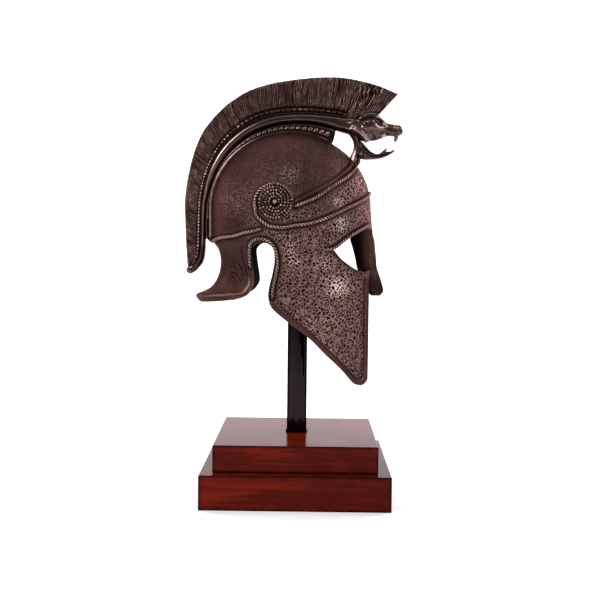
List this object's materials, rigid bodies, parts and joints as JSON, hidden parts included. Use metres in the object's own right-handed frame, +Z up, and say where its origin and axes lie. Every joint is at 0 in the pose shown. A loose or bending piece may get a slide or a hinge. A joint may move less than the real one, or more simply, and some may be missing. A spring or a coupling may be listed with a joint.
{
  "type": "crested greek helmet on a display stand",
  "caption": "Greek helmet with a tall hair crest, serpent crest holder, nose guard and cheek guards, held on a plain post over a two-tier wooden base.",
  "frame": {"origin": "centre of the base's underside, under the post's axis", "axes": "+Z up along the post, +X the way the helmet faces, +Y the helmet's left; symmetric about the XZ plane"},
  "size_m": [0.3374, 0.28, 0.6431],
  "materials": {
    "wood": "glossy red-brown stain with darkened edges",
    "post_metal": "gloss near-black",
    "shell_bronze": "hammered and pitted antique bronze, worn bright on the high spots",
    "trim_bronze": "satin antique bronze",
    "hair_bronze": "dark antique bronze, strand texture"
  },
  "bodies": {
    "root": {"base": "wood", "bead_row_left": "trim_bronze", "bead_row_right": "trim_bronze", "brow_rope_left": "trim_bronze", "brow_rope_right": "trim_bronze", "brow_strand_left": "trim_bronze", "brow_strand_right": "trim_bronze", "cheek_rim_left": "trim_bronze", "cheek_rim_right": "trim_bronze", "crest_band": "trim_bronze", "crest_brush": "hair_bronze", "crest_saddle": "trim_bronze", "ear_rope_left": "trim_bronze", "ear_rope_right": "trim_bronze", "eye_rope_left": "trim_bronze", "eye_rope_right": "trim_bronze", "helmet_shell": "shell_bronze", "nape_rope": "trim_bronze", "plinth": "wood", "post": "post_metal", "rosette_left": "trim_bronze", "rosette_right": "trim_bronze", "serpent": "trim_bronze", "temple_rope": "trim_bronze"}
  },
  "joints": []
}
